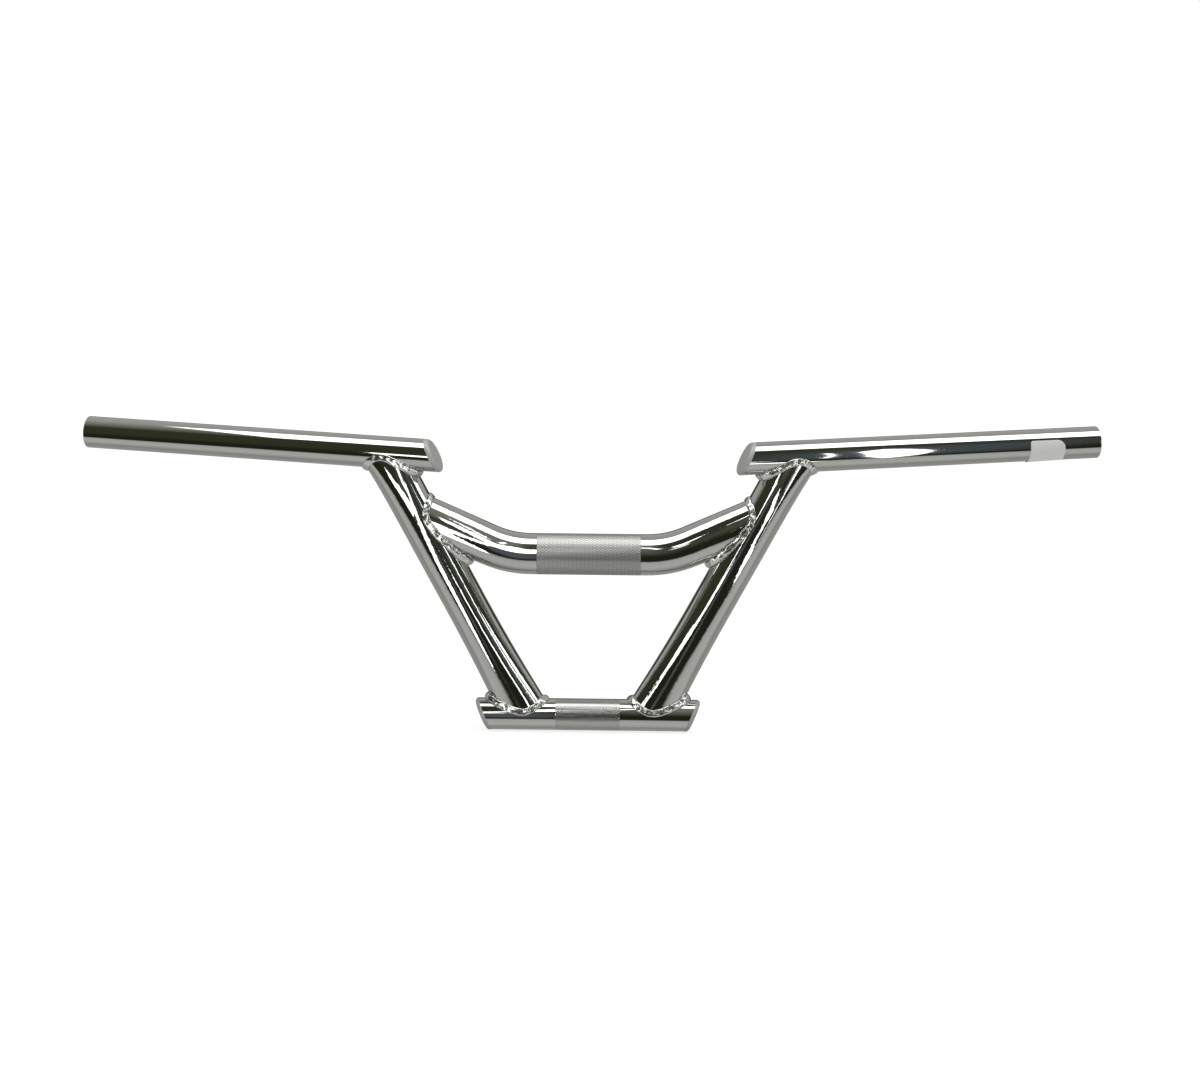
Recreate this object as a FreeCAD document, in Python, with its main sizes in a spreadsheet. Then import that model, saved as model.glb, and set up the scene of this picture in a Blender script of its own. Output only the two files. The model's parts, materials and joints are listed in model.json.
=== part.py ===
"""Welded motorcycle handlebar with raised hand bars, as a parametric document.

Two leaning risers stand on a short clamp bar and carry the two hand bars.
A bent crossbar with a knurled middle braces the risers.
X runs along the clamp bar, +Y points back to the rider and +Z up.
The origin is the middle of the clamp bar's axis. Lengths are in millimetres, angles in degrees.
"""

import FreeCAD, Part
import os

doc = FreeCAD.newDocument("handlebar")

# Driving dimensions
DIMENSIONS = (
    ("overall_width", 711.2),
    ("hand_bar_diameter", 22.2),
    ("hand_bar_wall", 2.0),
    ("hand_bar_height", 182.0),
    ("hand_bar_backsweep", 11.0),
    ("hand_bar_upsweep", 2.1),
    ("hand_bar_inner_reach", 37.6),
    ("hand_bar_end_slant", 27.0),
    ("hand_bar_rim_radius", 0.6),
    ("clamp_bar_diameter", 22.2),
    ("clamp_bar_wall", 2.5),
    ("clamp_bar_overhang", 31.5),
    ("clamp_bar_end_slant", 23.0),
    ("clamp_knurl_length", 44.6),
    ("riser_diameter", 28.6),
    ("riser_wall", 2.0),
    ("riser_foot_spacing", 85.8),
    ("riser_head_spacing", 283.5),
    ("riser_foot_width", 34.0),
    ("riser_foot_taper", 92.0),
    ("riser_head_width", 31.4),
    ("riser_head_taper", 45.0),
    ("riser_taper_ease", 12.0),
    ("riser_seat_inset", 0.5),
    ("crossbar_diameter", 28.6),
    ("crossbar_wall", 2.0),
    ("crossbar_drop", 69.3),
    ("crossbar_straight", 80.0),
    ("crossbar_bend_radius", 73.0),
    ("crossbar_bend_angle", 22.8),
    ("crossbar_end_width", 30.0),
    ("crossbar_end_depth", 26.0),
    ("crossbar_knurl_length", 71.4),
    ("knurl_rise", 0.2),
    ("cap_thickness", 3.0),
    ("cap_edge_radius", 2.2),
    ("weld_leg", 3.0),
    ("weld_crown", 1.0),
    ("weld_ripple_pitch", 5.2),
    ("weld_ripple_depth", 0.8),
    ("weld_gap", 0.2),
    ("label_length", 22.0),
    ("label_end_distance", 26.5),
    ("label_top_angle", 113.0),
    ("label_wrap_angle", 133.0),
    ("label_thickness", 0.12),
)

sheet = doc.addObject("Spreadsheet::Sheet", "dims")
for row, (alias, value) in enumerate(DIMENSIONS, start=1):
    sheet.set(f"A{row}", alias)
    sheet.set(f"B{row}", str(value))
    sheet.setAlias(f"B{row}", alias)
doc.recompute()


# Helpers that add objects to the document
def add(kind, label, **expressions):
    """Add an object and bind its properties to expressions."""
    thing = doc.addObject(kind, label)
    thing.Label = label
    for name, text in expressions.items():
        thing.setExpression(name, text)
    return thing


def frame(label, x, z, yaw, pitch):
    """A coordinate system in the X-Z plane whose own Z runs along a tube."""
    text = f"placement(vector({x}; 0; {z}); rotation({yaw}; {pitch}; 0))"
    return add("Part::LocalCoordinateSystem", label, Placement=text)


def along(base, distance, turn="0", tilt="0"):
    """A place some way along a frame's own Z, turned about it or tilted."""
    step = f"placement(vector(0; 0; {distance}); rotation({turn}; {tilt}; 0))"
    return f"{base.Name}.Placement * {step}"


def cylinder(label, place, radius, height):
    return add("Part::Cylinder", label, Placement=place, Radius=radius, Height=height)


def ellipse(label, place, width, depth):
    return add(
        "Part::Ellipse",
        label,
        Placement=place,
        MajorRadius=f"({width}) / 2",
        MinorRadius=f"({depth}) / 2",
    )


def circle(label, place, diameter):
    return add("Part::Circle", label, Placement=place, Radius=f"({diameter}) / 2")


def loft(label, sections):
    solid = add("Part::Loft", label)
    solid.Sections = sections
    solid.Solid = True
    return solid


def cut(label, base, *tools):
    """The base less each tool in turn."""
    for number, tool in enumerate(tools, start=1):
        last = number == len(tools)
        step = add("Part::Cut", label if last else f"{label}_cut_{number}")
        step.Base = base
        step.Tool = tool
        base = step
    return base


def fuse(label, *shapes):
    joined = add("Part::MultiFuse", label)
    joined.Shapes = list(shapes)
    return joined


def mirror(label, source):
    """The same piece on the other side of the Y-Z plane."""
    copy = add("Part::Mirroring", label)
    copy.Source = source
    copy.Normal = FreeCAD.Vector(1, 0, 0)
    return copy


def fillet(label, base, edge_numbers, radius):
    rounded = add("Part::Fillet", label)
    rounded.Base = base
    rounded.Edges = [(number, radius, radius) for number in edge_numbers]
    return rounded


# Frames on the axes of the right riser, the right hand bar, the clamp bar and the crossbar and its arm
RISER_RUN = "(dims.riser_head_spacing - dims.riser_foot_spacing) / 2"
RISER_LENGTH = f"sqrt(({RISER_RUN})^2 + dims.hand_bar_height^2)"
RISER_LEAN = f"atan({RISER_RUN} / dims.hand_bar_height)"
riser_axis = frame("riser_axis", "dims.riser_foot_spacing / 2", "0", "0", RISER_LEAN)

hand_axis = frame(
    "hand_bar_axis",
    "dims.riser_head_spacing / 2",
    "dims.hand_bar_height",
    "dims.hand_bar_backsweep",
    "90 - dims.hand_bar_upsweep",
)
clamp_axis = frame("clamp_bar_axis", "0", "0", "0", "90")
# The crossbar hangs below the hand bars
CROSSBAR_HEIGHT = "(dims.hand_bar_height - dims.crossbar_drop)"
crossbar_axis = frame("crossbar_axis", "0", CROSSBAR_HEIGHT, "0", "90")

BEND_END_X = "dims.crossbar_straight / 2 + dims.crossbar_bend_radius * sin(dims.crossbar_bend_angle)"
BEND_END_Z = f"{CROSSBAR_HEIGHT} + dims.crossbar_bend_radius * (1 - cos(dims.crossbar_bend_angle))"
arm_axis = frame("crossbar_arm_axis", BEND_END_X, BEND_END_Z, "0", "90 - dims.crossbar_bend_angle")

# The arm runs from the bend to the riser's axis
RISER_SLOPE = f"({RISER_RUN}) / dims.hand_bar_height"
ARM_LENGTH = (
    f"(dims.riser_foot_spacing / 2 + ({BEND_END_Z}) * {RISER_SLOPE} - ({BEND_END_X}))"
    f" / (cos(dims.crossbar_bend_angle) - sin(dims.crossbar_bend_angle) * {RISER_SLOPE})"
)


# Hand bar: a tube with an open outer end and a slanted inner end that a flat cap closes
AXIS_SHARE = "cos(dims.hand_bar_upsweep) * cos(dims.hand_bar_backsweep)"
# The overall width is taken over the rounded rims of the swept ends
HAND_BAR_OUTER_REACH = (
    "((dims.overall_width - dims.riser_head_spacing) / 2 - dims.hand_bar_rim_radius"
    f" - (dims.hand_bar_diameter / 2 - dims.hand_bar_rim_radius) * sqrt(1 - ({AXIS_SHARE})^2))"
    f" / ({AXIS_SHARE}) + dims.hand_bar_rim_radius"
)
HAND_BAR_START = "-dims.hand_bar_inner_reach - dims.hand_bar_diameter"
hand_blank = cylinder(
    "hand_bar_blank",
    along(hand_axis, HAND_BAR_START),
    "dims.hand_bar_diameter / 2",
    f"{HAND_BAR_OUTER_REACH} - ({HAND_BAR_START})",
)
hand_bore = cylinder(
    "hand_bar_bore",
    along(hand_axis, HAND_BAR_START),
    "dims.hand_bar_diameter / 2 - dims.hand_bar_wall",
    f"{HAND_BAR_OUTER_REACH} - ({HAND_BAR_START})",
)
hand_end = add(
    "Part::LocalCoordinateSystem",
    "hand_bar_inner_end",
    Placement=along(hand_axis, "-dims.hand_bar_inner_reach", tilt="dims.hand_bar_end_slant"),
)
hand_waste = cylinder(
    "hand_bar_inner_waste",
    along(hand_end, "dims.cap_thickness - 3 * dims.hand_bar_diameter"),
    "2 * dims.hand_bar_diameter",
    "3 * dims.hand_bar_diameter",
)
hand_slab = cylinder(
    "hand_bar_cap_slab",
    along(hand_end, "0"),
    "2 * dims.hand_bar_diameter",
    "dims.cap_thickness",
)
hand_tip = add(
    "Part::LocalCoordinateSystem",
    "hand_bar_tip",
    Placement=along(hand_axis, HAND_BAR_OUTER_REACH),
)
hand_tube = cut("hand_bar_tube", hand_blank, hand_bore, hand_waste)


def round_rims(label, base, end, reach, radius):
    """Round the closed edges of a piece that lie within a short reach of an end's plane."""
    doc.recompute()
    centre = end.Placement.Base
    normal = end.Placement.Rotation.multVec(FreeCAD.Vector(0, 0, 1))
    rims = [
        number
        for number, edge in enumerate(base.Shape.Edges, start=1)
        if edge.isClosed() and abs((edge.CenterOfMass - centre).dot(normal)) < reach
    ]
    return fillet(label, base, rims, radius)


right_hand_bar = round_rims(
    "right_hand_bar", hand_tube, hand_tip, sheet.hand_bar_wall / 2, sheet.hand_bar_rim_radius
)


def end_cap(label, blank, slab, end):
    """The slice of a bar's blank inside the slab, with its outer rim rounded."""
    disc = add("Part::Common", f"{label}_disc")
    disc.Base = blank
    disc.Tool = slab
    return round_rims(label, disc, end, sheet.cap_thickness / 2, sheet.cap_edge_radius)


right_hand_bar_cap = end_cap("right_hand_bar_cap", hand_blank, hand_slab, hand_end)

# Clamp bar: a short straight tube with a knurled middle and slanted ends that flat caps close
CLAMP_REACH = "dims.riser_foot_spacing / 2 + dims.clamp_bar_overhang"
CLAMP_START = f"-({CLAMP_REACH}) - dims.clamp_bar_diameter"
CLAMP_SPAN = f"2 * ({CLAMP_REACH} + dims.clamp_bar_diameter)"
clamp_blank = cylinder(
    "clamp_bar_blank",
    along(clamp_axis, CLAMP_START),
    "dims.clamp_bar_diameter / 2",
    CLAMP_SPAN,
)
clamp_bore = cylinder(
    "clamp_bar_bore",
    along(clamp_axis, CLAMP_START),
    "dims.clamp_bar_diameter / 2 - dims.clamp_bar_wall",
    CLAMP_SPAN,
)
clamp_knurl = cylinder(
    "clamp_bar_knurl",
    along(clamp_axis, "-dims.clamp_knurl_length / 2"),
    "dims.clamp_bar_diameter / 2 + dims.knurl_rise",
    "dims.clamp_knurl_length",
)
clamp_end = add(
    "Part::LocalCoordinateSystem",
    "clamp_bar_end",
    Placement=along(clamp_axis, CLAMP_REACH, tilt="dims.clamp_bar_end_slant"),
)
clamp_waste = cylinder(
    "clamp_bar_waste",
    along(clamp_end, "-dims.cap_thickness"),
    "2 * dims.clamp_bar_diameter",
    "3 * dims.clamp_bar_diameter",
)
clamp_slab = cylinder(
    "clamp_bar_cap_slab",
    along(clamp_end, "-dims.cap_thickness"),
    "2 * dims.clamp_bar_diameter",
    "dims.cap_thickness",
)
bottom_bar = cut(
    "bottom_bar",
    fuse("clamp_bar_outside", clamp_blank, clamp_knurl),
    clamp_bore,
    clamp_waste,
    mirror("clamp_bar_left_waste", clamp_waste),
)
bottom_bar_right_cap = end_cap("bottom_bar_right_cap", clamp_blank, clamp_slab, clamp_end)


# Riser: a round tube squashed oval at both ends, cut to sit on the two bars
FOOT_DEPTH = "dims.clamp_bar_diameter - 2 * dims.riser_seat_inset"
HEAD_DEPTH = "dims.hand_bar_diameter - 2 * dims.riser_seat_inset"
HEAD_TAPER_START = f"{RISER_LENGTH} - dims.riser_head_taper"
# The tube is round between the tapers, which ease into it over a short length
ROUND_STATIONS = (
    "dims.riser_foot_taper",
    "dims.riser_foot_taper + dims.riser_taper_ease",
    f"{HEAD_TAPER_START} - dims.riser_taper_ease",
    HEAD_TAPER_START,
)


def riser_loft(label, inset):
    """The riser's outside, or its inside when inset is the wall."""
    shrink = f" - 2 * ({inset})"
    foot_place = along(riser_axis, "0")
    foot = ellipse(f"{label}_foot", foot_place, "dims.riser_foot_width" + shrink, FOOT_DEPTH + shrink)
    rounds = [
        circle(f"{label}_round_{number}", along(riser_axis, station), "dims.riser_diameter" + shrink)
        for number, station in enumerate(ROUND_STATIONS, start=1)
    ]
    head_place = along(riser_axis, RISER_LENGTH)
    head = ellipse(f"{label}_head", head_place, "dims.riser_head_width" + shrink, HEAD_DEPTH + shrink)
    return loft(label, [foot, *rounds, head])


riser_outside = riser_loft("riser_outside", "0")
riser_inside = riser_loft("riser_inside", "dims.riser_wall")
right_riser = cut("right_riser", riser_outside, riser_inside, clamp_blank, hand_blank)


# Crossbar: a bent tube whose oval ends are cut to fit round the risers
def crossbar_solid(label, inset):
    """The crossbar's outside, or its inside when inset is the wall."""
    shrink = f" - 2 * ({inset})"
    diameter = "dims.crossbar_diameter" + shrink
    middle = cylinder(
        f"{label}_middle",
        along(crossbar_axis, "-dims.crossbar_straight / 2"),
        f"({diameter}) / 2",
        "dims.crossbar_straight",
    )
    bend_centre = f"vector(dims.crossbar_straight / 2; 0; {CROSSBAR_HEIGHT} + dims.crossbar_bend_radius)"
    bend = add(
        "Part::Torus",
        f"{label}_bend",
        Placement=f"placement({bend_centre}; rotation(0; 90; 90))",
        Radius1="dims.crossbar_bend_radius",
        Radius2=f"({diameter}) / 2",
        Angle3="dims.crossbar_bend_angle",
    )
    arm_root = circle(f"{label}_arm_root", along(arm_axis, "0"), diameter)
    arm_tip = ellipse(
        f"{label}_arm_tip",
        along(arm_axis, ARM_LENGTH),
        "dims.crossbar_end_width" + shrink,
        "dims.crossbar_end_depth" + shrink,
    )
    arm = loft(f"{label}_arm", [arm_root, arm_tip])
    pieces = [middle, bend, arm, mirror(f"{label}_left_bend", bend), mirror(f"{label}_left_arm", arm)]
    return fuse(label, *pieces)


crossbar_outside = crossbar_solid("crossbar_outside", "0")
crossbar_inside = crossbar_solid("crossbar_inside", "dims.crossbar_wall")
crossbar_knurl = cylinder(
    "crossbar_knurl",
    along(crossbar_axis, "-dims.crossbar_knurl_length / 2"),
    "dims.crossbar_diameter / 2 + dims.knurl_rise",
    "dims.crossbar_knurl_length",
)
crossbar = cut(
    "crossbar",
    fuse("crossbar_knurled", crossbar_outside, crossbar_knurl),
    crossbar_inside,
    riser_outside,
    mirror("left_riser_outside", riser_outside),
)
doc.recompute()


# Welds: a rippled bead run along the line where two tubes meet, lying in the corner between them
def nearest(tube, point):
    """The foot of a point on a tube's outside and the outward normal there."""
    here = Part.Vertex(point)
    wall = min(tube.Faces, key=lambda side: side.distToShape(here)[0])
    foot = wall.distToShape(here)[1][0][0]
    return foot, wall.normalAt(*wall.Surface.parameter(foot))


def lifted(tube, point):
    """The foot of a point on a tube, lifted off it by the weld's gap."""
    foot, normal = nearest(tube, point)
    return foot + normal * sheet.weld_gap


def bead_section(point, tubes, crown):
    """One section of the bead: from the root along one tube to its toe, over the crown and back."""
    normals = [nearest(tube, point)[1] for tube in tubes]
    outward = (normals[0] + normals[1]).normalize()
    sides = []
    for tube, normal, other in zip(tubes, normals, reversed(normals)):
        away = (other - normal * normal.dot(other)).normalize()
        # A sharper corner takes more weld metal
        leg = sheet.weld_leg / outward.cross(away).Length
        sides.append([lifted(tube, point + away * (leg / 2)), lifted(tube, point + away * leg)])
    root = point + outward * sheet.weld_gap
    crest = (sides[0][1] + sides[1][1]) / 2 + outward * crown
    return [root, *sides[0], crest, *reversed(sides[1])]


def triangle(*corners):
    return Part.Face(Part.makePolygon([*corners, corners[0]]))


def weld(label, first, second):
    seams = Part.sortEdges(first.section(second).Edges)
    seam = max((Part.Wire(edges) for edges in seams), key=lambda wire: wire.Length)
    ripples = round(seam.Length / sheet.weld_ripple_pitch)
    points = seam.discretize(Number=2 * ripples + 1)[:-1]
    crowns = (sheet.weld_crown, sheet.weld_crown - sheet.weld_ripple_depth)
    rings = [bead_section(point, (first, second), crowns[n % 2]) for n, point in enumerate(points)]
    faces = []
    for here, after in zip(rings, rings[1:] + rings[:1]):
        for corner, near in enumerate(here):
            following = (corner + 1) % len(here)
            faces.append(triangle(near, here[following], after[following]))
            faces.append(triangle(near, after[following], after[corner]))
    solid = Part.makeSolid(Part.makeShell(faces))
    if solid.Volume < 0:
        solid.reverse()
    bead = add("Part::Feature", label)
    bead.Shape = solid
    return bead


right_upper_weld = weld("right_upper_weld", riser_outside.Shape, hand_blank.Shape)
right_lower_weld = weld("right_lower_weld", riser_outside.Shape, clamp_blank.Shape)
right_crossbar_weld = weld("right_crossbar_weld", riser_outside.Shape, crossbar_outside.Shape)

# Paper label: a blank sticker wrapped round the front and underside of the right hand bar
LABEL_START = f"{HAND_BAR_OUTER_REACH} - dims.label_end_distance - dims.label_length"
label_place = along(hand_axis, LABEL_START, turn="-dims.label_top_angle")
label_wrap = cylinder(
    "label_wrap",
    label_place,
    "dims.hand_bar_diameter / 2 + dims.label_thickness",
    "dims.label_length",
)
label_wrap.setExpression("Angle", "dims.label_wrap_angle")
paper_label = cut("paper_label", label_wrap, hand_blank)

# Pieces of the right side and their twins on the left
RIGHT_PIECES = (
    right_hand_bar,
    right_hand_bar_cap,
    right_riser,
    bottom_bar_right_cap,
    right_upper_weld,
    right_lower_weld,
    right_crossbar_weld,
)
left_pieces = [mirror(piece.Label.replace("right", "left"), piece) for piece in RIGHT_PIECES]
nodes = [bottom_bar, crossbar, paper_label, *RIGHT_PIECES, *left_pieces]
doc.recompute()

# Every object must have been made, and every piece must be a sound solid, before any file is written
for thing in doc.Objects:
    if {"Invalid", "Error"} & set(thing.State):
        raise RuntimeError(f"{thing.Label} could not be made")
for node in nodes:
    if node.Shape.isNull() or not node.Shape.isValid() or len(node.Shape.Solids) != 1:
        raise RuntimeError(f"{node.Label} is not one sound solid")

os.makedirs("parts", exist_ok=True)
for node in nodes:
    node.Shape.exportStep(f"parts/{node.Label}.step")
    print(f"{node.Label}: {node.Shape.Volume:.0f} mm3")
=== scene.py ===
# %% [markdown]
# # A chrome motorcycle handlebar
# The bar is welded from plated steel tubes: two hand bars on leaning risers, a bent crossbar with a
# knurled middle and a short bar at the bottom that the clamp holds. The tubes come from the CAD frame.
# This lesson adds what a CAD solid leaves plain: lumpy weld beads, cut diamonds on the knurls, a paper
# sticker with soft corners, and the finishes.

# %% Load the frame and note its box
import json
import math

import bpy
from mathutils import Matrix, Vector


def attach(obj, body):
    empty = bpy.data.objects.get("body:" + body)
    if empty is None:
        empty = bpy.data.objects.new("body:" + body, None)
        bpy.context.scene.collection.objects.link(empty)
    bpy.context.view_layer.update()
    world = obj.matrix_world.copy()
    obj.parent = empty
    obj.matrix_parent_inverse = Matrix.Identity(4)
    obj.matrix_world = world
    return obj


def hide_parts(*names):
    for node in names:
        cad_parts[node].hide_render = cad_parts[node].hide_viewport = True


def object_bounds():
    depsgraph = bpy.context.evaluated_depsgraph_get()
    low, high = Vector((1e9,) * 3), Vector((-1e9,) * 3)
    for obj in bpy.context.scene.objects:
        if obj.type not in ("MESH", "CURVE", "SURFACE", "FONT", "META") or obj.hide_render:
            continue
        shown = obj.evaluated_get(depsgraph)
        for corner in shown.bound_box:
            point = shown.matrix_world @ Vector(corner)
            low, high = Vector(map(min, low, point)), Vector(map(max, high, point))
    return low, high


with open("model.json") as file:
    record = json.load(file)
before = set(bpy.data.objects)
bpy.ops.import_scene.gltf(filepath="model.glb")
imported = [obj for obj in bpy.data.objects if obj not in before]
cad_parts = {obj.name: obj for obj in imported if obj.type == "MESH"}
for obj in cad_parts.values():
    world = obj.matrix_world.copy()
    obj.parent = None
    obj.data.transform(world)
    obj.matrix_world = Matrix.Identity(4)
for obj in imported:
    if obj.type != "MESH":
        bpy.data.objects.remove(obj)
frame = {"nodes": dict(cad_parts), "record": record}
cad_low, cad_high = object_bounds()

MM = 0.001
CM = 0.01
nodes = frame["nodes"]
print("CAD nodes:", len(nodes), "box", [round(v, 4) for v in (*cad_low, *cad_high)])

# %% [markdown]
# ## Camera
# The picture looks at the bar nearly square on, from a little above, with the bar turned by about a
# degree in the frame. A long lens from under two metres keeps the tubes almost parallel. The camera is
# placed by an angle round the bar, an angle above the floor and a roll about its own line of sight.

# %% Camera
CAMERA_AIM = Vector((7.5, 0.0, 123.4)) * MM
CAMERA_DISTANCE = 1.8
CAMERA_AZIMUTH = math.radians(0.9)
CAMERA_ELEVATION = math.radians(8.0)
CAMERA_ROLL = math.radians(0.5)
CAMERA_LENS = 78.3

turn = Matrix.Rotation(CAMERA_AZIMUTH, 4, "Z") @ Matrix.Rotation(math.pi / 2 - CAMERA_ELEVATION, 4, "X")
back = (turn @ Vector((0, 0, 1, 0))).to_3d()
bpy.ops.object.camera_add()
camera = bpy.context.object
camera.matrix_world = (
    Matrix.Translation(CAMERA_AIM + back * CAMERA_DISTANCE)
    @ turn
    @ Matrix.Rotation(CAMERA_ROLL, 4, "Z")
)
camera.data.lens = CAMERA_LENS
bpy.context.scene.camera = camera
print("camera at", [round(v, 3) for v in camera.matrix_world.translation])

# %% [markdown]
# ## Writing shaders as sums
# A finish is a small sum: a base plus some noise, a mask times a colour. Wiring Math nodes by hand
# hides that, so a Value wraps a socket and lets Python's operators add the nodes. Every other node comes
# from one method, which takes its type, its settings and what goes into its sockets.

# %% A shader value and a finish
class Value:
    """A number in a shader that takes plain arithmetic."""

    def __init__(self, finish, socket):
        self.finish = finish
        self.socket = socket

    def math(self, operation, *inputs):
        return self.finish.node("ShaderNodeMath", {"operation": operation}, dict(enumerate(inputs)))

    def __add__(self, other):
        return self.math("ADD", self, other)

    def __sub__(self, other):
        return self.math("SUBTRACT", self, other)

    def __rsub__(self, other):
        return self.math("SUBTRACT", other, self)

    def __mul__(self, other):
        return self.math("MULTIPLY", self, other)

    __radd__ = __add__
    __rmul__ = __mul__

    def above(self, low, high):
        """0 below low, 1 above high and a soft step between."""
        step = {"interpolation_type": "SMOOTHSTEP"}
        sockets = {"Value": self, "From Min": low, "From Max": high}
        return self.finish.node("ShaderNodeMapRange", step, sockets)


class Finish:
    """A material or a world whose nodes are added one by one."""

    def __init__(self, name, block=None):
        self.block = block or bpy.data.materials.new(name)
        self.block.use_nodes = True
        self.tree = self.block.node_tree

    def node(self, kind, settings=None, sockets=None, output=0):
        """A new node: its settings are made first, then its sockets are fed."""
        made = self.tree.nodes.new(kind)
        for name, setting in (settings or {}).items():
            if name == "stops":
                self.set_stops(made.color_ramp, setting)
            else:
                setattr(made, name, setting)
        self.feed(made, sockets or {})
        return Value(self, made.outputs[output])

    def feed(self, made, sockets):
        """Link each value to its socket, or set the socket to a plain number or colour."""
        for name, value in sockets.items():
            if isinstance(value, Value):
                self.tree.links.new(value.socket, made.inputs[name])
            else:
                made.inputs[name].default_value = value

    def set_stops(self, ramp, stops):
        while len(ramp.elements) < len(stops):
            ramp.elements.new(1.0)
        for element, (place, colour) in zip(ramp.elements, stops):
            element.position = place
            element.color = colour

    def surface(self, **sockets):
        """Feed the Principled shader, with an underscore for each space in a socket's name."""
        shader = self.tree.nodes["Principled BSDF"]
        self.feed(shader, {name.replace("_", " "): value for name, value in sockets.items()})

    def place(self):
        return self.node("ShaderNodeTexCoord", output="Object")

    def coordinates(self):
        """The object's x, y and z, apart."""
        split = self.node("ShaderNodeSeparateXYZ", None, {0: self.place()})
        return [Value(self, output) for output in split.socket.node.outputs]

    def vector(self, operation, *inputs, output=0):
        settings = {"operation": operation}
        return self.node("ShaderNodeVectorMath", settings, dict(enumerate(inputs)), output)

    def length(self, arrow):
        return self.vector("LENGTH", arrow, output=1)

    def noise(self, scale, detail=2.0):
        sockets = {"Vector": self.place(), "Scale": scale, "Detail": detail}
        return self.node("ShaderNodeTexNoise", None, sockets)

    def blend(self, factor, first, second):
        sockets = {"Factor": factor, 6: first, 7: second}
        return self.node("ShaderNodeMix", {"data_type": "RGBA"}, sockets, output=2)

    def bump(self, height, distance):
        sockets = {"Height": height, "Distance": distance, "Strength": 1.0}
        return self.node("ShaderNodeBump", None, sockets)


print("shader helpers ready")

# %% [markdown]
# ## The studio
# Polished chrome has no look of its own: it shows the room. The bands on these tubes come from a long white
# strip light overhead, lamps and bright panels in front, the dark room that they stand in, and pale paper
# under and behind the bar. A tent round the bar holds the far part of that room, and each point of it is
# known by two angles: how far up from straight ahead it lies, and how far sideways. Only reflections see the
# tent, so it neither hides the bar from other sides nor lights it, and the white background stays white.

# %% Tent and its two angles
TENT_RADIUS = 1.0
TENT_CENTRE = (0, 0, 0.1)
FULL_TURN = 360.0
DEGREES = 180 / math.pi

bpy.ops.object.select_all(action="DESELECT")
bpy.ops.mesh.primitive_uv_sphere_add(segments=64, ring_count=32, radius=TENT_RADIUS, location=TENT_CENTRE)
tent = bpy.context.object
tent.name = "studio_tent"


def hide_from_all_but_gloss(prop):
    """Only reflections see a studio prop."""
    for ray in ("visible_camera", "visible_diffuse", "visible_shadow", "visible_transmission"):
        setattr(prop, ray, False)


hide_from_all_but_gloss(tent)

room = Finish("studio_room")
across, deep, high = room.coordinates()
ahead = deep * -1
upward = ahead.math("ARCTAN2", high, ahead) * DEGREES
sideways = across.math("ARCSINE", across * (1 / TENT_RADIUS)) * DEGREES
print("tent of radius", TENT_RADIUS)

# %% [markdown]
# Going once round the tent from straight behind, under the bar, up past the camera and over the top gives
# the bands that every level tube shows: pale paper, then the dark room, then pale paper again. One narrow
# dark band high on the paper behind gives the back of the tubes a line to show. A colour ramp holds the
# bands, with one stop for each change.

# %% Bands of the room
def grey(level):
    """A neutral with the faint green of the room: pale paper on the tent, and the painted shade in the
    knurls' grooves.
    """
    return (level, level * 1.01, level * 0.97, 1)


def olive(level):
    """The dark of the room."""
    return (level, level * 1.08, level * 0.64, 1)


def stop(degrees, colour):
    """A place on the ramp, which starts straight behind the bar and runs under it to the front."""
    return (degrees / FULL_TURN + 0.5, colour)


BANDS = [
    stop(-180, grey(0.44)),
    stop(-110, grey(0.40)),
    stop(-96, grey(0.36)),
    stop(-82, grey(0.52)),
    stop(-66, grey(0.62)),
    stop(-42, grey(0.58)),
    stop(-35, grey(0.50)),
    stop(-29, olive(0.020)),
    stop(-4, olive(0.022)),
    stop(10, olive(0.043)),
    stop(56, olive(0.047)),
    stop(104, grey(0.47)),
    stop(152, grey(0.52)),
    stop(158, olive(0.07)),
    stop(173, olive(0.04)),
    stop(178, grey(0.42)),
    stop(180, grey(0.44)),
]
shown = room.node("ShaderNodeValToRGB", {"stops": BANDS}, {"Fac": upward * (1 / FULL_TURN) + 0.5})
print("bands:", len(BANDS), "stops")

# %% [markdown]
# Patches of tint and white lamps lie over the bands. Each is a rectangle on the tent with soft edges, and a
# lamp may be turned, because a leaning tube sees the room along a slant.

# %% Tints and lamps
LAMP_EDGE = 0.4
LAMP_WHITE = (3.0, 3.05, 3.0, 1)

# Each tint has a middle, half a width and an edge's softness sideways, then the same upward, in degrees.
TINTS = (
    ((8, 9, 6), (60, 35, 30), (0.26, 0.27, 0.22, 1)),  # a glow above the middle
    ((38, 9, 5), (15, 30, 12), (0.085, 0.10, 0.11, 1)),  # a blue window on the right
    ((-6, 3, 3), (-5, 16, 6), (0.12, 0.135, 0.145, 1)),  # a narrow one left of the middle
)
# Each lamp has a place sideways and upward, a length, a width and a tilt, in degrees.
LAMPS = (
    (13.7, 80.2, 92.6, 34, 0),  # the strip overhead
    (20, -8, 28, 4.5, -46),  # a slanting lamp that the right riser sees
    (55.8, 17.5, 10, 19, 0),  # a lamp far to the right that the left riser sees
)


def within(angle, half, soft):
    """1 while an angle stays within half of nought, with a soft edge."""
    return 1 - angle.math("ABSOLUTE", angle).above(half - soft, half + soft)


def lamp(side, up, length, width, tilt):
    """A soft-edged rectangle about a point of the tent, its long side turned by tilt from level."""
    cos, sin = math.cos(math.radians(tilt)), math.sin(math.radians(tilt))
    right, rise = sideways - side, upward - up
    along, over = right * cos + rise * sin, rise * cos - right * sin
    return within(along, length / 2, LAMP_EDGE) * within(over, width / 2, LAMP_EDGE)


for (side, side_half, side_soft), (up, up_half, up_soft), colour in TINTS:
    patch = within(sideways - side, side_half, side_soft) * within(upward - up, up_half, up_soft)
    shown = room.blend(patch, shown, colour)

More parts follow.
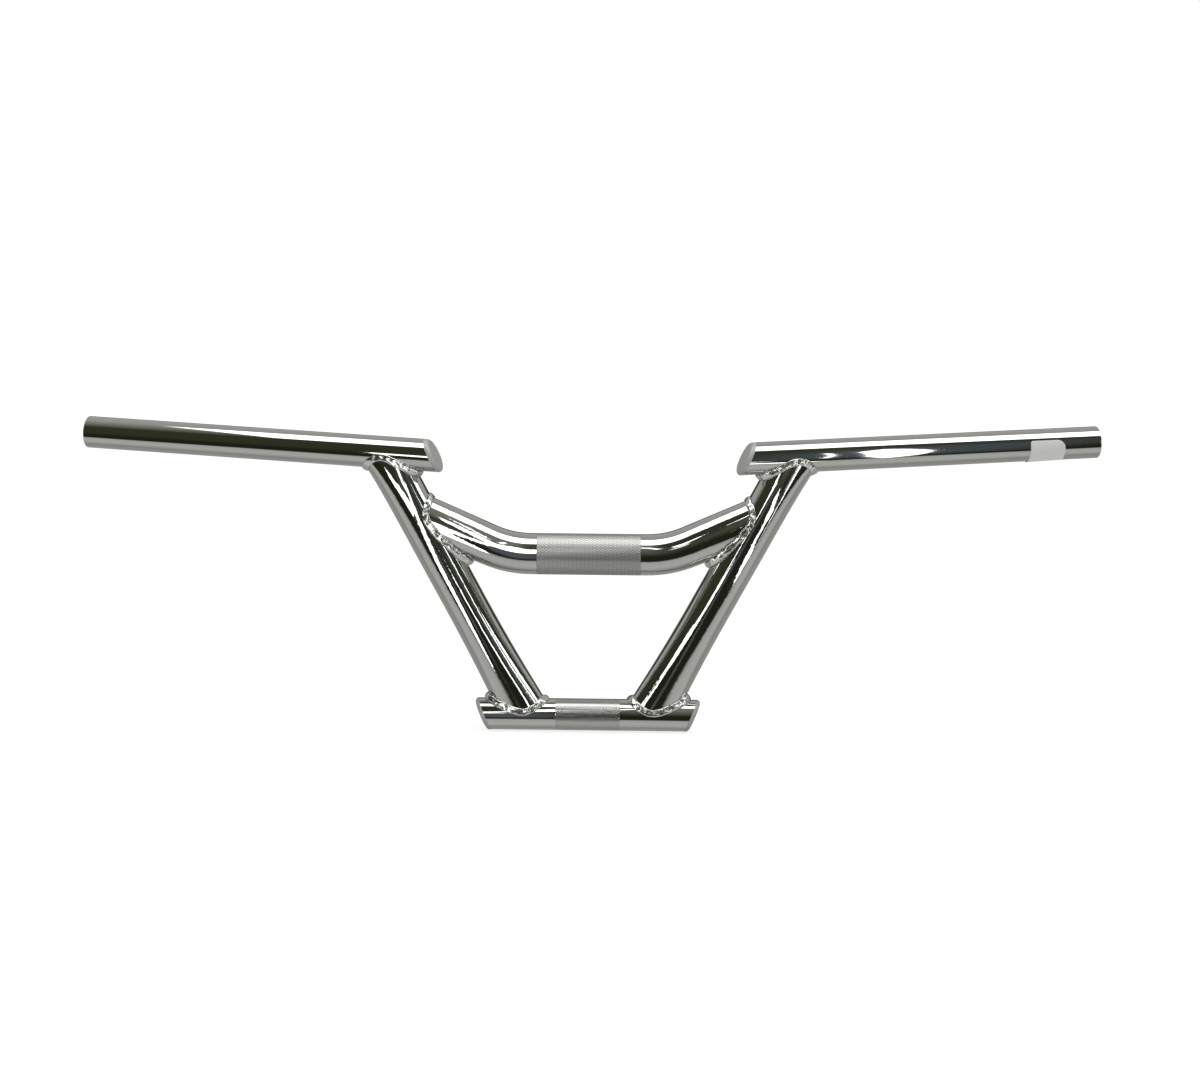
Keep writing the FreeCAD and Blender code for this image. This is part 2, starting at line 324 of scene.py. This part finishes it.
lit = sum(lamp(*place) for place in LAMPS)
shown = room.blend(lit.math("MINIMUM", lit, 1.0), shown, LAMP_WHITE)
emission = room.node("ShaderNodeEmission", None, {"Color": shown})
room.tree.links.new(emission.socket, room.tree.nodes["Material Output"].inputs["Surface"])
tent.data.materials.append(room.block)
print("tints:", len(TINTS), "lamps:", len(LAMPS))

# %% [markdown]
# Other bright things stand close in front of the bar. A near one has to be a real panel, because from a third
# of a metre away every tube sees it at another angle: it draws a long thin line on a riser, a fork on the
# crossbar and a blob on a hand bar. Each panel is a filled circle whose corners are pulled to their places
# on an upright plane.

# %% Near panels
PANEL_WHITE = 3.0

# Each panel has its distance in front of the bar, then the x and z of its corners, in centimetres.
PANELS = {
    "panel_left_low": (33, (
        (1, 25.5), (2, 24.5), (-9.3, 11), (-15.5, 4.5), (-16.5, -4), (-16, -12),
        (-19, -14), (-25, -9), (-26, -2), (-20, 4.5), (-11, 12.5),
    )),
    "panel_left_high": (50, (
        (-41, 16.5), (-41, 8.5), (-25, 3), (-16, 8.5), (-8, 12.5),
        (-9, 15), (-18, 15), (-28, 14), (-33, 16),
    )),
    "panel_right_tall": (50, (
        (43, 33), (45.5, 44), (47, 48), (48.5, 42), (50.5, 25),
        (51.5, -10), (51, -20), (48, -10), (45.5, 0), (44, 15),
    )),
    "panel_right_pole": (50, ((39.6, 35), (40.3, 35), (41.3, 3), (40.6, 3))),
    "panel_right_low": (30, ((19, 5), (23, 5), (25, 1), (33.5, -5.5), (31.5, -7.5), (22, 0))),
    "panel_middle_low": (35, (
        (-6, 20), (-6, 29), (-3.5, 36), (-1.5, 36), (-0.5, 30), (-1, 24), (-2.5, 20),
    )),
    "panel_middle_high": (35, ((0.5, 36), (3, 50), (4.5, 50), (2, 36))),
}

panel_light = Finish("lamp_panel")
panel_light.surface(Base_Color=(0, 0, 0, 1), Emission_Color=(1, 1, 1, 1), Emission_Strength=PANEL_WHITE)


def lamp_panel(name, distance, corners):
    """A glowing panel in front of the bar."""
    bpy.ops.object.select_all(action="DESELECT")
    bpy.ops.mesh.primitive_circle_add(vertices=len(corners), fill_type="NGON")
    panel = bpy.context.object
    panel.name = name
    for vertex, (x, z) in zip(panel.data.vertices, corners):
        vertex.co = Vector((x, -distance, z)) * CM
    panel.data.materials.append(panel_light.block)
    hide_from_all_but_gloss(panel)


for name, (distance, corners) in PANELS.items():
    lamp_panel(name, distance, corners)
print("panels:", list(PANELS))

# %% [markdown]
# ## Floor, white background and overhead light
# The bar stands on a pale floor that runs into a white background. Camera, glossy and transmission rays
# see the world as plain white, and the other rays see a softer level that lights the paper and the floor.

# %% World
WORLD_LEVEL = 0.75

sky = bpy.data.worlds.new("white_background")
bpy.context.scene.world = sky
air = Finish("white_background", sky)
ray_kinds = air.node("ShaderNodeLightPath").socket.node.outputs
to_camera = Value(air, ray_kinds["Is Camera Ray"])
to_gloss = Value(air, ray_kinds["Is Glossy Ray"])
to_glass = Value(air, ray_kinds["Is Transmission Ray"])
seen = to_camera.math("MAXIMUM", to_camera.math("MAXIMUM", to_camera, to_gloss), to_glass)
level = seen * (1 - WORLD_LEVEL) + WORLD_LEVEL
air.feed(air.tree.nodes["Background"], {"Color": (1, 1, 1, 1), "Strength": level})
print("world level", WORLD_LEVEL)

# %% [markdown]
# Part of what the camera sees of the floor is that same white, so it meets the background without a line
# and only a faint shadow stays under the bar. Reflections see the tent's paper in place of the floor.

# %% Floor
FLOOR_SIZE = 14.0
FLOOR_WHITE_SHARE = 0.6
FLOOR_WHITE = 1.3
FLOOR_GRAIN = 30.0
FLOOR_ROUGHNESS = 0.9
FLOOR_DARK = (0.80, 0.80, 0.79, 1)
FLOOR_PALE = (0.83, 0.83, 0.82, 1)

bpy.ops.object.select_all(action="DESELECT")
bpy.ops.mesh.primitive_plane_add(size=FLOOR_SIZE, location=(0, 0, cad_low.z))
floor = bpy.context.object
floor.name = "floor"
paper = Finish("pale_floor")
grain = paper.noise(FLOOR_GRAIN)
paper.surface(Base_Color=paper.blend(grain, FLOOR_DARK, FLOOR_PALE), Roughness=FLOOR_ROUGHNESS)
camera_ray = Value(paper, paper.node("ShaderNodeLightPath").socket.node.outputs["Is Camera Ray"])
white = paper.node("ShaderNodeEmission", None, {"Strength": FLOOR_WHITE})
lit_paper = Value(paper, paper.tree.nodes["Principled BSDF"].outputs[0])
mixed = paper.node("ShaderNodeMixShader", None, {0: camera_ray * FLOOR_WHITE_SHARE, 1: lit_paper, 2: white})
paper.tree.links.new(mixed.socket, paper.tree.nodes["Material Output"].inputs["Surface"])
floor.data.materials.append(paper.block)
floor.visible_glossy = False
print("floor at", round(cad_low.z, 4))

# %% [markdown]
# One wide lamp overhead gives the floor its soft shadow. It stays out of the reflections, because the
# tent's strip already stands there.

# %% Overhead light
OVERHEAD_PLACE = (0.2, -0.3, 1.6)
OVERHEAD_LENGTH = 1.8
OVERHEAD_WIDTH = 1.0
OVERHEAD_WATTS = 9.0

bpy.ops.object.light_add(type="AREA", location=OVERHEAD_PLACE)
overhead = bpy.context.object
overhead.data.shape = "RECTANGLE"
overhead.data.size = OVERHEAD_LENGTH
overhead.data.size_y = OVERHEAD_WIDTH
overhead.data.energy = OVERHEAD_WATTS
overhead.visible_glossy = False
print("overhead light", OVERHEAD_WATTS, "W")

# %% [markdown]
# ## Chrome
# Plating copies the tube under it. A drawn tube is never quite true, so long slow waves bend the
# reflections a little, and polishing leaves a fine haze that comes and goes. Both are too small to model
# and belong in the finish: a bump of a few hundredths of a millimetre and a slightly uneven roughness. The
# caps were ground flat before plating, so they scatter light and look satin, and the welds lie between.

# %% Chrome finishes
CHROME_BRIGHT = (0.60, 0.605, 0.59, 1)
CHROME_DULL = (0.52, 0.525, 0.51, 1)
CLOUD_SCALE = 60.0
CLOUD_DETAIL = 4.0
CLOUD_SHARE = 0.7
SPECK_SCALE = 900.0
SPECK_FROM = 0.62
SPECK_TO = 0.72
SPECK_SHARE = 0.3
SPECK_ROUGHNESS = 0.01
TUBE = {"roughness": 0.02, "haze": 0.05, "wave": 0.015 * MM, "wave_scale": 45.0}


def chrome(name, roughness, haze, wave, wave_scale, bright=CHROME_BRIGHT, dull=CHROME_DULL, metal=1.0):
    """Plated steel: a haze that varies the roughness, and slow waves that bend the reflections."""
    finish = Finish(name)
    cloud = finish.noise(CLOUD_SCALE, CLOUD_DETAIL)
    speck = finish.noise(SPECK_SCALE).above(SPECK_FROM, SPECK_TO)
    waves = finish.noise(wave_scale, 1.0)
    finish.surface(
        Base_Color=finish.blend(cloud * CLOUD_SHARE + speck * SPECK_SHARE, bright, dull),
        Roughness=cloud * haze + roughness + speck * SPECK_ROUGHNESS,
        Metallic=metal,
        Normal=finish.bump(waves, wave),
    )
    return finish


tube_chrome = chrome("bright_chrome", **TUBE)
cap_chrome = chrome(
    "satin_cap_chrome", roughness=0.45, haze=0.12, wave=0.02 * MM, wave_scale=600.0,
    bright=(0.41, 0.415, 0.40, 1), dull=(0.34, 0.345, 0.33, 1), metal=0.3,
)
weld_chrome = chrome(
    "weld_chrome", roughness=0.16, haze=0.12, wave=0.04 * MM, wave_scale=400.0,
    bright=(0.74, 0.745, 0.72, 1), dull=(0.62, 0.625, 0.60, 1),
)
print("finishes:", [m.name for m in bpy.data.materials])

# %% [markdown]
# The plating bath hardly reaches into an open tube, so the bores of the hand bars stay dull steel with a
# breath of rust. The finish tells the bore from the outside by the distance from the bar's own axis. Both
# hand bars mirror each other, so taking x without its sign serves them with one axis.

# %% Hand bar finish
BORE_EDGE = 9.6 * MM
BORE_EDGE_SOFT = 0.2 * MM
BORE_ROUGHNESS = 0.5
BARE_STEEL = (0.20, 0.195, 0.185, 1)
RUST = (0.13, 0.09, 0.06, 1)
RUST_SCALE = 160.0
RUST_DETAIL = 5.0
RUST_FROM = 0.5
RUST_TO = 0.75

mounts = {mount["name"]: mount for mount in frame["record"]["mounts"]}
grip = mounts["right_grip"]
grip_end = Vector(grip["pos_m"])
grip_way = Vector(grip["axis"]).normalized()
grip_radius = grip["dims"]["r_mm"] * MM


def hand_bar_finish():
    """Bright chrome outside the tube and dull steel inside it."""
    finish = chrome("hand_bar_chrome", **TUBE)
    x, y, z = finish.coordinates()
    spread = finish.node("ShaderNodeCombineXYZ", None, {0: x.math("ABSOLUTE", x), 1: y, 2: z})
    from_end = finish.vector("SUBTRACT", spread, grip_end)
    reach = finish.length(finish.vector("CROSS_PRODUCT", from_end, grip_way))
    plated = reach.above(BORE_EDGE - BORE_EDGE_SOFT, BORE_EDGE + BORE_EDGE_SOFT)
    rust = finish.noise(RUST_SCALE, RUST_DETAIL).above(RUST_FROM, RUST_TO)
    steel = finish.blend(rust, BARE_STEEL, RUST)
    skin = finish.noise(CLOUD_SCALE, CLOUD_DETAIL)
    plating = finish.blend(skin * CLOUD_SHARE, CHROME_BRIGHT, CHROME_DULL)
    finish.surface(
        Base_Color=finish.blend(plated, steel, plating),
        Roughness=skin * TUBE["haze"] + TUBE["roughness"] + (1 - plated) * BORE_ROUGHNESS,
    )
    return finish


hand_bar_chrome = hand_bar_finish()
print("bore finish inside", BORE_EDGE / MM, "mm")

# %% [markdown]
# ## Weld beads
# A hand-laid bead is a row of overlapping puddles, bright from plating but never even. The CAD bead gives
# the right ring with a plain ripple, and a copy of it is worked on. These helpers copy a CAD node, merge its
# loose triangles, apply modifiers and put a finished piece in a node's place.

# %% Mesh helpers
MERGE = 0.001 * MM


def tidy_mesh(piece):
    """Merge doubles and make the faces point outwards."""
    bpy.ops.object.select_all(action="DESELECT")
    bpy.context.view_layer.objects.active = piece
    piece.select_set(True)
    bpy.ops.object.mode_set(mode="EDIT")
    bpy.ops.mesh.select_all(action="SELECT")
    bpy.ops.mesh.remove_doubles(threshold=MERGE)
    bpy.ops.mesh.normals_make_consistent(inside=False)
    bpy.ops.object.mode_set(mode="OBJECT")


def modify(piece, kind, **settings):
    """Add a modifier and apply it."""
    modifier = piece.modifiers.new(kind.lower(), kind)
    for name, setting in settings.items():
        setattr(modifier, name, setting)
    bpy.context.view_layer.objects.active = piece
    bpy.ops.object.modifier_apply(modifier=modifier.name)


def stand_for(piece, node_name, finish):
    """Dress a piece and let it take the place of a CAD node."""
    piece.data.materials.clear()
    piece.data.materials.append(finish.block)
    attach(piece, "root")
    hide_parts(node_name)


def node_copy(node_name, piece_name):
    """A merged copy of a CAD node, whose own mesh stays as it is."""
    piece = bpy.data.objects.new(piece_name, nodes[node_name].data.copy())
    bpy.context.scene.collection.objects.link(piece)
    tidy_mesh(piece)
    bpy.ops.mesh.customdata_custom_splitnormals_clear()
    return piece


print("mesh helpers ready")

# %% [markdown]
# The copy is turned back into quads. Subdivision and Smooth melt the ripple into soft puddles, one Displace
# swells the bead onto the tubes, a second one makes it lumpy, and a last Subdivision rounds the lumps.

# %% Weld beads
BEAD_SWELL = 0.35 * MM
BEAD_SMOOTHING = 0.5
BEAD_SMOOTH_ROUNDS = 8
PUDDLE_SIZE = 3.6 * MM
PUDDLE_HEIGHT = 0.9 * MM

puddles = bpy.data.textures.new("weld_puddles", "CLOUDS")
puddles.noise_scale = PUDDLE_SIZE
puddles.noise_depth = 0


def weld_bead(node_name):
    piece = node_copy(node_name, node_name + "_bead")
    bpy.ops.object.mode_set(mode="EDIT")
    bpy.ops.mesh.select_all(action="SELECT")
    bpy.ops.mesh.tris_convert_to_quads()
    bpy.ops.object.mode_set(mode="OBJECT")
    modify(piece, "SUBSURF", levels=2, render_levels=2)
    modify(piece, "SMOOTH", factor=BEAD_SMOOTHING, iterations=BEAD_SMOOTH_ROUNDS)
    modify(piece, "DISPLACE", strength=BEAD_SWELL, mid_level=0.0)
    modify(piece, "DISPLACE", texture=puddles, texture_coords="LOCAL", strength=PUDDLE_HEIGHT, mid_level=0.5)
    modify(piece, "SUBSURF", levels=1, render_levels=1)
    bpy.ops.object.shade_smooth()
    stand_for(piece, node_name, weld_chrome)
    return piece


beads = [weld_bead(name) for name in sorted(nodes) if name.endswith("_weld")]
print("beads:", [(bead.name, len(bead.data.polygons)) for bead in beads])

# %% [markdown]
# ## Knurls
# A knurling wheel presses two crossing sets of grooves into a tube and leaves rows of small diamonds between
# them. The diamonds' tops lie about level with the tube and the grooves lie under it, so there is no step at
# the ends. The CAD tube has a plain raised band there. A copy takes its place, with that band scaled in
# about the tube's axis to make a bed for the diamonds.

# %% Beds for the knurls
BED_DEPTH = 0.75 * MM
SURFACE_SLACK = 0.1 * MM
TUBE_SHARP_ANGLE = math.radians(30)


def knurl_bed(node_name, piece_name, mount):
    """A tube whose clamp band is sunk below the surface."""
    piece = node_copy(node_name, piece_name)
    centre = Vector(mount["pos_m"])
    band_radius = mount["dims"]["r_mm"] * MM
    half = mount["dims"]["length_mm"] / 2 * MM
    bpy.ops.object.mode_set(mode="EDIT")
    bpy.ops.mesh.select_mode(type="VERT")
    bpy.ops.mesh.select_all(action="DESELECT")
    bpy.ops.object.mode_set(mode="OBJECT")
    for vertex in piece.data.vertices:
        spoke = vertex.co - centre
        in_band = abs(spoke.x) < half + SURFACE_SLACK
        vertex.select = in_band and spoke.yz.length > band_radius - SURFACE_SLACK
    sunk = 1 - BED_DEPTH / band_radius
    bpy.ops.object.mode_set(mode="EDIT")
    bpy.ops.transform.resize(value=(1, sunk, sunk), center_override=centre)
    bpy.ops.object.mode_set(mode="OBJECT")
    bpy.ops.object.shade_smooth_by_angle(angle=TUBE_SHARP_ANGLE)
    stand_for(piece, node_name, tube_chrome)
    return piece


crossbar_tube = knurl_bed("crossbar", "crossbar_tube", mounts["crossbar_clamp"])
bottom_tube = knurl_bed("bottom_bar", "bottom_bar_tube", mounts["lower_clamp"])
print("beds:", crossbar_tube.name, bottom_tube.name)

# %% [markdown]
# The diamonds start as one sheet of rectangles wrapped round the tube. Poking each rectangle and dissolving
# the old edges turns the rectangles into diamonds, and insetting each diamond while it is raised gives it a
# flat top and sloping flanks. The ends are turned in and bridged, so the sleeve is a closed ring that sits in
# its bed. A knurl is rougher than the tube, and painted shade keeps its grooves darker than its tops.

# %% Knurl sleeves
KNURL_HAZE = 0.06
KNURL_WAVE = 0.01 * MM
KNURL_WAVE_SCALE = 900.0
KNURL_WEAR_SCALE = 400.0


def knurl_finish(name, centre, groove, rise, shade, roughness):
    """Chrome with painted shade in the grooves, told by the distance from the tube's axis."""
    finish = chrome(name, roughness, KNURL_HAZE, KNURL_WAVE, KNURL_WAVE_SCALE)
    from_centre = finish.vector("SUBTRACT", finish.place(), centre)
    reach = finish.length(finish.vector("MULTIPLY", from_centre, (0, 1, 1)))
    crest = finish.blend(finish.noise(KNURL_WEAR_SCALE), CHROME_BRIGHT, CHROME_DULL)
    # Painted shade: below the diamonds' tops the colour drops to grey(shade), so the grooves render dark.
    finish.surface(Base_Color=finish.blend(reach.above(groove, groove + rise), grey(shade), crest))
    return finish


def wrap(piece, length, radius, centre):
    """Roll a one by one sheet round the X axis: its own x runs along the tube and its y around it."""
    for vertex in piece.data.vertices:
        angle = 2 * math.pi * vertex.co.y
        ring = Vector((vertex.co.x * length, radius * math.sin(angle), radius * math.cos(angle)))
        vertex.co = centre + ring


def set_radius(piece, radius, centre):
    """Push every vertex out to a round tube of this radius."""
    for vertex in piece.data.vertices:
        spoke = vertex.co - centre
        spoke.x = 0
        vertex.co += spoke.normalized() * (radius - spoke.length)


def select_edges(piece, wanted):
    """Select the edges for which wanted(edge) holds, and stay in edit mode."""
    bpy.ops.object.mode_set(mode="EDIT")
    bpy.ops.mesh.select_mode(type="EDGE")
    bpy.ops.mesh.select_all(action="DESELECT")
    bpy.ops.object.mode_set(mode="OBJECT")
    for edge in piece.data.edges:
        edge.select = wanted(edge)
    bpy.ops.object.mode_set(mode="EDIT")


def knurl_sleeve(piece_name, mount, groove, rise, flank, along_pitch, around_pitch, shade, roughness):
    """A ring of flat-topped diamonds over a clamp band, with sloping flanks up from the grooves."""
    length = mount["dims"]["length_mm"] * MM
    centre = Vector(mount["pos_m"])
    along, around = round(length / along_pitch), round(2 * math.pi * groove / around_pitch)
    bpy.ops.object.select_all(action="DESELECT")
    bpy.ops.mesh.primitive_grid_add(x_subdivisions=along, y_subdivisions=around, size=1)
    piece = bpy.context.object
    piece.name = piece_name
    wrap(piece, length, groove, centre)
    tidy_mesh(piece)
    corners = len(piece.data.vertices)

    def at_end(edge):
        ends = (piece.data.vertices[number].co.x for number in edge.vertices)
        return all(abs(abs(x - centre.x) - length / 2) < MERGE for x in ends)

    bpy.ops.object.mode_set(mode="EDIT")
    bpy.ops.mesh.select_all(action="SELECT")
    bpy.ops.mesh.poke()
    bpy.ops.object.mode_set(mode="OBJECT")
    set_radius(piece, groove, centre)
    select_edges(piece, lambda edge: max(edge.vertices) < corners and not at_end(edge))
    bpy.ops.mesh.dissolve_edges(use_verts=False)
    bpy.ops.mesh.select_all(action="SELECT")
    bpy.ops.mesh.inset(thickness=flank, depth=rise, use_individual=True)
    bpy.ops.object.mode_set(mode="OBJECT")
    select_edges(piece, at_end)
    bpy.ops.mesh.extrude_edges_move()
    inner = (mount["dims"]["r_mm"] * MM - BED_DEPTH - SURFACE_SLACK) / groove
    bpy.ops.transform.resize(value=(1, inner, inner), center_override=centre)
    bpy.ops.mesh.bridge_edge_loops()
    bpy.ops.object.mode_set(mode="OBJECT")
    tidy_mesh(piece)
    finish = knurl_finish(piece_name + "_chrome", centre, groove, rise, shade, roughness)
    piece.data.materials.append(finish.block)
    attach(piece, "root")
    return piece


# shade sets how dark the painted shade in each knurl's grooves is.
crossbar_knurl = knurl_sleeve(
    "crossbar_knurl", mounts["crossbar_clamp"],
    groove=14.24 * MM, rise=0.08 * MM, flank=0.24 * MM, along_pitch=2.7 * MM, around_pitch=2.0 * MM,
    shade=0.20, roughness=0.29,
)
clamp_knurl = knurl_sleeve(
    "clamp_bar_knurl", mounts["lower_clamp"],
    groove=11.05 * MM, rise=0.04 * MM, flank=0.26 * MM, along_pitch=2.2 * MM, around_pitch=1.7 * MM,
    shade=0.46, roughness=0.12,
)
print("knurls:", len(crossbar_knurl.data.polygons), len(clamp_knurl.data.polygons), "faces")

# %% [markdown]
# ## Paper sticker
# A small blank sticker wraps the front and underside of the right hand bar near its end. It starts as a
# flat rectangle whose corners are bevelled round, one of them cut wider. Bisecting it into narrow strips
# lets it roll round the tube smoothly.

# %% Paper sticker
STICKER_LENGTH = 25.0 * MM
STICKER_WRAP = math.radians(133.0)
STICKER_CORNER = 1.6 * MM
STICKER_CUT_CORNER = 6.0 * MM
CORNER_STEPS = 8
NEARLY = 0.999
STICKER_STRIPS = 40
sticker_height = grip_radius * STICKER_WRAP

bpy.ops.object.select_all(action="DESELECT")
bpy.ops.mesh.primitive_plane_add(size=1)
sticker = bpy.context.object
sticker.name = "paper_sticker"
for vertex in sticker.data.vertices:
    vertex.co = Vector((vertex.co.x * STICKER_LENGTH, vertex.co.y * sticker_height, 0))


def round_corners(wanted, width):
    """Bevel the corners that are wanted, from object mode."""
    bpy.ops.object.mode_set(mode="EDIT")
    bpy.ops.mesh.select_mode(type="VERT")
    bpy.ops.mesh.select_all(action="DESELECT")
    bpy.ops.object.mode_set(mode="OBJECT")
    for vertex in sticker.data.vertices:
        vertex.select = wanted(vertex.co)
    bpy.ops.object.mode_set(mode="EDIT")
    bpy.ops.mesh.bevel(offset=width, segments=CORNER_STEPS, affect="VERTICES", clamp_overlap=True)
    bpy.ops.object.mode_set(mode="OBJECT")


corner_reach = NEARLY * (STICKER_LENGTH + sticker_height) / 2
round_corners(lambda corner: corner.x > 0 and corner.y > 0, STICKER_CUT_CORNER)
round_corners(lambda corner: abs(corner.x) + abs(corner.y) > corner_reach, STICKER_CORNER)
bpy.ops.object.mode_set(mode="EDIT")
for strip in range(1, STICKER_STRIPS):
    strip_edge = (strip / STICKER_STRIPS - 0.5) * sticker_height
    bpy.ops.mesh.select_all(action="SELECT")
    bpy.ops.mesh.bisect(plane_co=(0, strip_edge, 0), plane_no=(0, 1, 0))
bpy.ops.object.mode_set(mode="OBJECT")
print("sticker sheet:", len(sticker.data.polygons), "strips")

# %% [markdown]
# Rolled on, the sheet's own y runs round the tube, from a little above its front down to its underside, and
# its x runs along the bar towards the open end. One lower corner has begun to peel. Solidify then gives the
# sheet the thickness of paper.

# %% Roll the sticker on
STICKER_FROM_END = 26.5 * MM
STICKER_TOP = math.radians(22.0)
STICKER_LIFT = 0.03 * MM
STICKER_THICKNESS = 0.12 * MM
STICKER_SHARP_ANGLE = math.radians(40)
PEEL_FROM = 0.55
PEEL_LIFT = 2.0 * MM

bar_up = (Vector((0, 0, 1)) - grip_way * grip_way.z).normalized()
bar_front = grip_way.cross(bar_up)
if bar_front.y > 0:
    bar_front.negate()

for vertex in sticker.data.vertices:
    rise = STICKER_TOP - (0.5 * sticker_height - vertex.co.y) / grip_radius
    from_tip = STICKER_FROM_END + STICKER_LENGTH / 2 - vertex.co.x
    peel = max(0.0, -vertex.co.x / STICKER_LENGTH - vertex.co.y / sticker_height - PEEL_FROM)
    radius = grip_radius + STICKER_LIFT + peel * PEEL_LIFT
    spoke = bar_front * math.cos(rise) + bar_up * math.sin(rise)
    vertex.co = grip_end - grip_way * from_tip + spoke * radius
tidy_mesh(sticker)
modify(sticker, "SOLIDIFY", thickness=STICKER_THICKNESS, offset=1.0)
tidy_mesh(sticker)
bpy.ops.object.shade_smooth_by_angle(angle=STICKER_SHARP_ANGLE)
print("sticker:", len(sticker.data.polygons), "faces")

# %% [markdown]
# The paper is an off-white with fine fibres and a few wide stains, and the fibres roughen it a little.

# %% Sticker paper
PAPER_BRIGHT = (0.66, 0.66, 0.63, 1)
PAPER_STAINED = (0.54, 0.54, 0.51, 1)
FIBRE_SCALE = 900.0
FIBRE_DETAIL = 4.0
FIBRE_HEIGHT = 0.02 * MM
FIBRE_ROUGHNESS = 0.2
STAIN_SCALE = 120.0
STAIN_DETAIL = 3.0
PAPER_ROUGHNESS = 0.45

label_paper = Finish("sticker_paper")
fibre = label_paper.noise(FIBRE_SCALE, FIBRE_DETAIL)
stain = label_paper.noise(STAIN_SCALE, STAIN_DETAIL)
label_paper.surface(
    Base_Color=label_paper.blend(fibre * 0.5 + stain * 0.5, PAPER_BRIGHT, PAPER_STAINED),
    Roughness=PAPER_ROUGHNESS + fibre * FIBRE_ROUGHNESS,
    Normal=label_paper.bump(fibre, FIBRE_HEIGHT),
)
stand_for(sticker, "paper_label", label_paper)
print("sticker finish:", label_paper.block.name)

# %% [markdown]
# ## Finishes for the CAD tubes
# The CAD nodes get their finishes by name: the hand bars with their dull bores, the satin caps, the welds
# and the label in case they are shown, and bright chrome for the rest.

# %% Dress the CAD nodes
FINISHES = {"weld": weld_chrome, "cap": cap_chrome, "hand_bar": hand_bar_chrome, "label": label_paper}
for name, node in nodes.items():
    finish = next((FINISHES[word] for word in FINISHES if word in name), tube_chrome)
    node.data.materials.clear()
    node.data.materials.append(finish.block)
    print(name, "->", finish.block.name)

# %% Finish
bpy.context.scene.view_settings.view_transform = "Standard"
